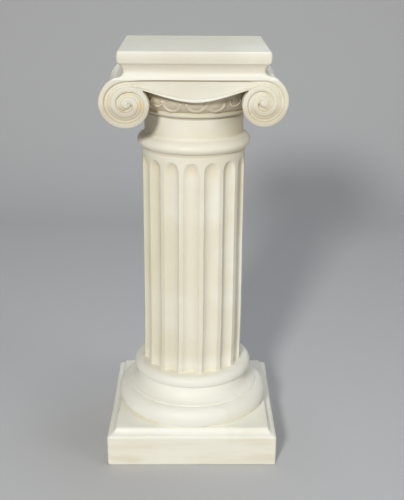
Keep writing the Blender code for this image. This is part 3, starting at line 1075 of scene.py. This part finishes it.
def melting(place):
    """How much a point of the capital melts: most where the scrolls meet the moulding's ends."""
    x, y, z = place
    across = 1 - held(abs(abs(x) - MELT_ACROSS[0]) / MELT_ACROSS[1])
    up = 1 - held(abs(z - BAND_TOP - MELT_RISE[0]) / MELT_RISE[1])
    deep = held((abs(y) - MELT_DEPTH[0]) / MELT_DEPTH[1])
    return held(MELT_STRENGTH * across * up * deep)


def fused(body, grain, softening, limit):
    """Fuses overlapping shells into one skin, softens it, and thins what is flat."""
    remesh = body.modifiers.new("remesh", "REMESH")
    remesh.mode = "VOXEL"
    remesh.voxel_size = grain
    soften = body.modifiers.new("soften", "SMOOTH")
    soften.factor = 0.5
    soften.iterations = softening
    plain(body)
    group = body.vertex_groups.new(name="melting")
    for point in body.data.vertices:
        share = melting(point.co)
        if share > 0:
            group.add([point.index], share, "REPLACE")
    melt = body.modifiers.new("melt", "SMOOTH")
    melt.factor = MELT_FACTOR
    melt.iterations = MELTING
    melt.vertex_group = group.name
    plain(body)
    thin = body.modifiers.new("thin", "DECIMATE")
    thin.ratio = min(1.0, limit / triangles(body))
    return plain(body)


capital = fused(join("capital", capital_shells), CAPITAL_GRAIN, CAPITAL_SOFTENING,
                CAPITAL_TRIANGLES)
union = casting.modifiers.new("union", "BOOLEAN")
union.operation = "UNION"
union.solver = "EXACT"
union.object = capital
plain(casting)
bpy.data.objects.remove(capital, do_unlink=True)


# The whole casting is slightly uneven, as a hand-finished mould is. Its skin is pressed in by two
# sizes of wave, and notes how sheltered, creased or exposed each point is, for the paint.

WAVE_HEIGHT = 0.0009
WAVE_SIZE = 9.0
RIPPLE_HEIGHT = 0.0006
RIPPLE_SIZE = 32.0
WAVE_CONTRAST = 1.6
SHELTER_REACH = 0.030
CREASE_REACH = 0.007
RAYS = 16
RAY_START = 0.0004
KEPT_LEVEL = 0.0006
SHARP_ANGLE = math.radians(48)


def finish_tree():
    """Makes the skin uneven and notes how sheltered each point of it is."""
    start, size = new_tree("hand_finish", "Skin", (
        "Wave height", "Wave size", "Ripple height", "Ripple size", "Shelter reach",
        "Crease reach", "Top"))
    position = start.place()
    normal = start.node("GeometryNodeInputNormal")

    def dent(scale, depth):
        """How far the skin is pressed in, between nothing and a depth."""
        wave = start.node("ShaderNodeTexNoise", {"noise_dimensions": "3D"}, {
            "Vector": position, "Scale": scale, "Detail": 2.0, "Roughness": 0.5}, "Fac")
        return ((wave - 0.5) * WAVE_CONTRAST - 0.5).at_least(-1.0).at_most(0.0) * depth

    depth = dent(size["Wave size"], size["Wave height"])
    depth = depth + dent(size["Ripple size"], size["Ripple height"])
    _, _, height = position.split()
    level = (start.math("LESS_THAN", height, KEPT_LEVEL)
             + start.math("GREATER_THAN", height, size["Top"] - KEPT_LEVEL))
    push = (normal * depth) * start.joined(1.0, 1.0, 1 - level)
    x, y, raised = (position + push).split()
    uneven = size["Skin"].moved(start.joined(x, y, raised.at_least(0.0).at_most(size["Top"])))

    def closeness(towards, reach):
        """Share of the half-sphere round a normal that the skin closes off within reach."""
        found = []
        weights = []
        for i in range(RAYS):
            up = 1 - (2 * i + 1) / RAYS
            turn = i * math.pi * (3 - math.sqrt(5))
            out = math.sqrt(1 - up * up)
            way = (out * math.cos(turn), out * math.sin(turn), up)
            facing = start.node("ShaderNodeVectorMath", {"operation": "DOT_PRODUCT"},
                                {0: towards, 1: way}, "Value")
            aimed = start.node("ShaderNodeVectorMath", {"operation": "SCALE"},
                               {"Vector": way, "Scale": start.math("SIGN", facing)})
            hit = start.node("GeometryNodeRaycast", None, {
                "Target Geometry": uneven, "Source Position": position + towards * RAY_START,
                "Ray Direction": aimed, "Ray Length": reach}, "Is Hit")
            weights.append(start.math("ABSOLUTE", facing))
            found.append(hit * weights[-1] * (1 - hit.other("Hit Distance") / reach))
        return sum(found) / sum(weights)

    marks = {"sheltered": (normal, size["Shelter reach"]), "crease": (normal, size["Crease reach"]),
             "edge": (-1 * normal, size["Crease reach"])}
    skin = uneven
    for name, (towards, reach) in marks.items():
        skin = start.node("GeometryNodeStoreNamedAttribute",
                          {"data_type": "FLOAT", "domain": "POINT"}, {
                              "Geometry": skin, "Name": name,
                              "Value": closeness(towards, reach)})
    return end_tree(skin, size["Paint"])


# The paint is ivory with a tan wash, wiped off again so that it stays in the hollows. The base is
# whiter, the grooves and creases are darkened with wash and painted shade, the edges are rubbed
# pale, and the egg rims carry a painted highlight. Painted shade also lies on the capital, on the
# shaft's left side, on the neck's sides and under the tile, and painted highlights on the flare,
# the lip, the ring and the back scrolls. Each stain has its centre, its reach each way, its
# strength and its colour, as the photograph shows it; the last is a painted shadow dot at the
# notch of the left eye.

IVORY = (0.83, 0.79, 0.65, 1.0)
PALE = (0.90, 0.89, 0.80, 1.0)
WHITE = (0.95, 0.945, 0.865, 1.0)
CREAM = (0.72, 0.69, 0.58, 1.0)
STRAW = (0.76, 0.70, 0.50, 1.0)
SAND = (0.78, 0.64, 0.40, 1.0)
TAN = (0.60, 0.42, 0.22, 1.0)
DUN = (0.46, 0.37, 0.27, 1.0)
OLIVE = (0.45, 0.40, 0.16, 1.0)
OCHRE = (0.38, 0.23, 0.06, 1.0)
UMBER_SHADE_AND_WASH = (0.34, 0.23, 0.11, 1.0)
STAIN = (0.80, 0.62, 0.34, 1.0)
DUST = (0.66, 0.57, 0.40, 1.0)
EYE_NOTCH_SHADOW = (0.20, 0.14, 0.07, 1.0)
STAINS_AND_SHADOW_DOT = (
    ((-0.1036, -0.146, 0.7944), (0.011, 0.02, 0.015), 0.55, STAIN),
    ((-0.1702, -0.146, 0.8030), (0.012, 0.02, 0.026), 0.22, STAIN),
    ((-0.1307, -0.146, 0.8169), (0.016, 0.02, 0.009), 0.28, STAIN),
    ((0.1015, -0.148, 0.8252), (0.009, 0.02, 0.007), 0.55, STAIN),
    ((-0.1480, -0.186, 0.0175), (0.055, 0.03, 0.014), 0.18, DUST),
    ((-0.1250, -0.186, 0.0110), (0.025, 0.03, 0.010), 0.18, DUST),
    ((0.1550, -0.186, 0.0160), (0.060, 0.03, 0.016), 0.18, DUST),
    # Painted shadow: a dark dot at the notch where the left volute's channel ends at the eye.
    ((-0.1290, -0.150, 0.7990), (0.0022, 0.02, 0.0020), 0.70, EYE_NOTCH_SHADOW),
)
STREAK_SCALE = (5.0, 5.0, 40.0)
BUMP_HEIGHT = 0.0008


def paint_nodes(material):
    """Lays coats of paint over each other, each with the share of it that stays at a place."""
    material.use_nodes = True
    tree = material.node_tree
    shader = tree.nodes["Principled BSDF"]
    start = Wire(tree)
    position = start.node("ShaderNodeTexCoord", None, None, "Object")
    sheltered, crease, edge = [
        start.node("ShaderNodeAttribute", {"attribute_name": name}, None, "Fac")
        for name in ("sheltered", "crease", "edge")]

    def noise(scale, detail, roughness=0.5, place=position):
        return start.node("ShaderNodeTexNoise", None, {
            "Vector": place, "Scale": scale, "Detail": detail, "Roughness": roughness}, "Fac")

    def between(value, low, high):
        return start.node("ShaderNodeMapRange", {"interpolation_type": "SMOOTHSTEP"}, {
            "Value": value, "From Min": low, "From Max": high, "To Min": 0.0, "To Max": 1.0})

    def over(colour, other, share):
        return start.node("ShaderNodeMix", {"data_type": "RGBA"},
                          {"Factor": share, "A": colour, "B": other})

    def length(vector):
        return start.node("ShaderNodeVectorMath", {"operation": "LENGTH"}, {"Vector": vector},
                          "Value")

    def above(value, level, low, high):
        """Rises from nothing to one between two offsets from a level."""
        return between(value, level + low, level + high)

    def below(value, level, low, high):
        return 1 - above(value, level, low, high)

    def band(value, foot, top):
        """One between a foot and a top, each given as a level and two offsets from it."""
        return above(value, *foot) * below(value, *top)

    # Zones of the casting
    across, depth, height = position.split()
    side = start.math("ABSOLUTE", across)
    out = start.math("ABSOLUTE", depth)
    from_axis = length(position * (1.0, 1.0, 0.0))
    eye = EYE_SPACING / 2
    face = CAPITAL_DEPTH / 2
    on_face = below(height, PLINTH_FACE, -0.003, 0.0)
    on_base = below(height, SHAFT_FOOT, -0.0174, 0.0526)
    at_foot = band(height, (SHAFT_FOOT, -0.002, 0.0), (SHAFT_FOOT, 0.004, 0.020)) * below(
        from_axis, SHAFT_RADIUS, 0.002, 0.004)
    on_shaft = band(height, (SHAFT_FOOT, 0.0, 0.030), (RING_FOOT, -0.030, 0.0))
    in_flute = below(from_axis, SHAFT_RADIUS, -0.007, -0.002)
    in_heads = band(height, (FLUTE_HEAD, -0.020, 0.010),
                    (RING_FOOT, -FLUTE_TOP_GAP, -FLUTE_TOP_GAP / 2))
    # under_ring: painted shade, with some wash, under the necking ring.
    under_ring = band(height, (RING_FOOT, -0.0050, -0.0025), (RING_FOOT, 0.0005, 0.0025))
    on_ring = band(height, (RING_FOOT, 0.010, 0.016), (RING_TOP, 0.0, 0.006))
    on_capital = above(height, COLLAR_FOOT, -0.010, 0.010)
    on_neck = above(height, RING_TOP, -0.010, 0.010) * (1 - on_capital)
    # on_neck_side: painted shade, with a little wash, on the neck's sides.
    on_neck_side = band(height, (RING_TOP, -0.030, 0.010), (COLLAR_FOOT, 0.020, 0.040)) * above(
        side, 0.0, 0.05, 0.10)
    # under_collar: painted shadow under the collar bead.
    level = height - (-1 * across).at_least(0.0) * (COLLAR_LIFT / COLLAR_RADIUS)
    under_collar = band(level, (COLLAR_FOOT, -0.0052, -0.0028),
                        (COLLAR_FOOT, 0.0004, 0.0018)) * below(from_axis, COLLAR_RADIUS, 0.0, 0.003)
    on_collar = band(height, (COLLAR_FOOT, -0.002, 0.0), (ECHINUS_FOOT, 0.0, 0.002)) * below(
        from_axis, COLLAR_RADIUS, 0.003, 0.006)
    on_echinus = band(height, (COLLAR_FOOT, -0.001, 0.003), (BAND_TOP, -0.030, -0.020)) * below(
        from_axis, ECHINUS_RADIUS, 0.004, 0.007)
    # on_lip marks a painted highlight on the band's lower lip; on_flare and on_ring mark painted
    # highlights too.
    on_lip = above(out, face, -0.0012, 0.0) * below(height, BAND_TOP, -0.020, -0.015) * below(
        side, eye, -0.0693, -0.0493)
    # in_groove: painted shadow on the band's floor just below its top fillet.
    in_groove = band(height, (BAND_TOP, -0.0105, -0.0082), (BAND_TOP, -0.0066, -0.0060)) * below(
        side, eye, -0.0343, -0.0043) * above(out, face, -0.015, -0.010)
    on_flare = band(height, (BAND_TOP, -0.0065, -0.0045), (BAND_TOP, 0.005, 0.011))
    # in_cavetto: painted shade under the tile, with some wash.
    in_cavetto = band(height, (BAND_TOP, 0.006, 0.016), (ABACUS_FOOT, -0.002, 0.001))
    # on_back: painted light on the back scrolls, where the front scrolls and the tile shade them.
    on_back = above(depth, 0.0, 0.02, 0.08) * below(height, ABACUS_FOOT, -0.004, 0.0)
    # on_left: painted shade on the shaft's left side.
    on_left = above(-1 * across, 0.0, 0.02, 0.09)
    on_right = above(across, 0.0, 0.05, 0.12)

    # What breaks up the coats
    fleck = (noise(55.0, 4.0, 0.6) - 0.5) * 0.3
    streak = noise(1.0, 3.0, 0.55, position * STREAK_SCALE)
    glaze = between(sheltered + fleck * 0.4, 0.06, 0.45)
    # line darkens creases and the edges of the grooves: wash, and painted shade.
    line = between(crease + fleck * 0.2, 0.14, 0.32) * (1 - 0.8 * on_collar)
    # wear_and_highlight lightens convex edges: rubbed wear, and on the egg rims a painted highlight.
    wear_and_highlight = between(edge, 0.14, 0.42) * 0.6 + between(edge, 0.05, 0.19) * on_echinus * 0.8

    coats = [
        (PALE, between(noise(6.0, 3.0), 0.40, 0.65) + on_base * 0.7),
        (WHITE, on_base * 0.8),
        # Painted shade: the capital a little darker than the rest, less so on its right side and not
        # on the back scrolls.
        (CREAM, on_capital * (0.6 - 0.4 * on_right) * (1 - on_back)),
        # Painted light: the back scrolls lighter, against the shade of the front scrolls and the
        # tile.
        (PALE, on_capital * on_back * 0.8),
        # Painted shade on the shaft's left side; the neck a little yellower.
        (STRAW, on_shaft * on_left * 0.50 + on_neck * 0.15),
        (STRAW, between(noise(4.0, 4.0, 0.6), 0.52, 0.72) * 0.35),
        (STRAW, glaze * (0.6 - 0.35 * on_base - 0.45 * on_right)),
        (TAN, between(sheltered + fleck, 0.40, 0.85) * (0.35 - 0.3 * on_base)),
        # Painted shade on the sides of the neck, with a little wash.
        (UMBER_SHADE_AND_WASH, on_neck_side * (0.26 + fleck * 0.3)),
        (OCHRE, on_echinus * (1 - 0.8 * on_collar) * (0.38 + fleck * 0.8)),
        (OLIVE, on_collar * 0.15),
        # Painted shade under the tile in the hollow moulding, with some wash.
        (DUN, in_cavetto * (0.34 + fleck * 0.4)),
        (SAND, in_heads * in_flute * 0.35),
        (STRAW, at_foot * 0.3),
        # Painted highlights on the flare, the band's lower lip and the ring.
        (WHITE, on_flare * 0.8 + on_lip * 0.8 + on_ring * 0.5),
        (STRAW, on_face * (0.20 + 0.35 * between(streak, 0.40, 0.75)))]
    # Stains, and the painted shadow dot at the left eye.
    for centre, reach, share, colour in STAINS_AND_SHADOW_DOT:
        away = length((position - centre) / reach)
        coats.append((colour, (1 - between(away + fleck * 1.5, 0.25, 1.0)) * share))
    coats += [
        # Wash and painted shade in the creases, weaker on the base.
        (UMBER_SHADE_AND_WASH, line * (0.85 - 0.77 * on_base)),
        # Painted shadow below the band's top fillet and under the collar; painted shade with some
        # wash under the ring.
        (UMBER_SHADE_AND_WASH, in_groove * (0.66 + fleck) + under_collar * 0.5 + under_ring * 0.26),
        # Rubbed wear on the edges, and a painted highlight on the egg rims.
        (over(PALE, STRAW, on_echinus * 0.6), wear_and_highlight)]
    paint = IVORY
    for colour, share in coats:
        paint = over(paint, colour, share.at_most(1.0))
    rough = 0.5 + (noise(35.0, 3.0) - 0.5) * 0.2 + line * 0.15
    grain = noise(420.0, 3.0, 0.6) * 0.5 + noise(130.0, 3.0, 0.55)
    bump = start.node("ShaderNodeBump", None, {
        "Strength": 0.25, "Distance": BUMP_HEIGHT, "Height": grain})
    tree.links.new(paint.socket, shader.inputs["Base Color"])
    tree.links.new(rough.socket, shader.inputs["Roughness"])
    tree.links.new(bump.socket, shader.inputs["Normal"])
    shader.inputs["Specular IOR Level"].default_value = 0.4


paint_nodes(ivory_paint)
rough_cast = casting
casting = grown("cast_column", rough_cast.data, finish_tree(), {
    "Wave height": WAVE_HEIGHT, "Wave size": WAVE_SIZE, "Ripple height": RIPPLE_HEIGHT,
    "Ripple size": RIPPLE_SIZE, "Shelter reach": SHELTER_REACH, "Crease reach": CREASE_REACH,
    "Top": COLUMN_TOP})
bpy.data.objects.remove(rough_cast, do_unlink=True)
casting.name = "cast_column"
casting.data.shade_smooth()
casting.data.set_sharp_from_angle(angle=SHARP_ANGLE)
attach(casting, "root")
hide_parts("column")


# The studio: a plain pale floor that curves up into the backdrop, and soft light from the front
# left, with a weak fill from the right and from above.

FLOOR_HALF_WIDTH = 3.0
FLOOR_FRONT = -2.5
FLOOR_BEND = 1.6
BEND_RADIUS = 0.8
BACKDROP_TOP = 3.2


def stage_sheet():
    line = [(FLOOR_FRONT, 0.0), (FLOOR_BEND, 0.0)]
    line += oval((FLOOR_BEND, BEND_RADIUS), BEND_RADIUS, BEND_RADIUS, -80, 0, 8)
    line.append((FLOOR_BEND + BEND_RADIUS, BACKDROP_TOP))
    bm = bmesh.new()
    left = [bm.verts.new((-FLOOR_HALF_WIDTH, y, z)) for y, z in line]
    right = [bm.verts.new((FLOOR_HALF_WIDTH, y, z)) for y, z in line]
    for i in range(len(line) - 1):
        bm.faces.new((left[i], right[i], right[i + 1], left[i + 1]))
    mesh = closed_mesh("studio_floor", bm)
    mesh.shade_smooth()
    return linked("studio_floor", mesh)


floor = stage_sheet()
floor_paint = bpy.data.materials.new("studio_floor")
floor_paint.use_nodes = True
floor_shader = floor_paint.node_tree.nodes["Principled BSDF"]
floor_shader.inputs["Base Color"].default_value = (0.54, 0.54, 0.55, 1.0)
floor_shader.inputs["Roughness"].default_value = 0.85
floor.data.materials.append(floor_paint)


def area_light(name, place, target, size, watts, colour):
    light = bpy.data.lights.new(name, "AREA")
    light.shape = "DISK"
    light.size = size
    light.energy = watts
    light.color = colour
    lamp = bpy.data.objects.new(name, light)
    lamp.location = place
    lamp.rotation_euler = (Vector(target) - Vector(place)).to_track_quat("-Z", "Y").to_euler()
    bpy.context.scene.collection.objects.link(lamp)


area_light("key", (-1.27, -4.43, 2.69), (0, 0, 0.5), 0.7, 165.0, (1.0, 0.995, 0.97))
area_light("right_fill", (3.2, -2.2, 1.5), (0, 0, 0.5), 1.6, 27.0, (1.0, 0.98, 0.94))
area_light("overhead", (0.3, 0.2, 3.4), (0, 0, 0.5), 1.6, 35.0, (0.78, 0.88, 1.0))
world = bpy.data.worlds.new("studio")
bpy.context.scene.world = world
world.use_nodes = True
world.node_tree.nodes["Background"].inputs["Color"].default_value = (1.0, 0.90, 0.735, 1.0)
world.node_tree.nodes["Background"].inputs["Strength"].default_value = 0.145

bpy.context.scene.view_settings.view_transform = "Standard"


# The camera stands a little above the pedestal's top and looks down at it, as in the photograph.
# Its place, aim and lens were fitted to the corners of the plinth and of the abacus.

CAMERA_PLACE = Vector((-0.0066, -1.9037, 1.1163))
CAMERA_AIM = Vector((0.0135, 0.9425, -0.3338)).normalized()
CAMERA_ROLL = 0.0072
CAMERA_LENS = 64.45
level_right = CAMERA_AIM.cross(Vector((0, 0, 1))).normalized()
level_up = level_right.cross(CAMERA_AIM)
right = level_right * math.cos(CAMERA_ROLL) + level_up * math.sin(CAMERA_ROLL)
up = level_up * math.cos(CAMERA_ROLL) - level_right * math.sin(CAMERA_ROLL)
stand = Matrix((right, up, -CAMERA_AIM)).transposed().to_4x4()
stand.translation = CAMERA_PLACE
lens = bpy.data.cameras.new("camera")
lens.lens = CAMERA_LENS
camera = bpy.data.objects.new("camera", lens)
camera.matrix_world = stand
bpy.context.scene.collection.objects.link(camera)
bpy.context.scene.camera = camera
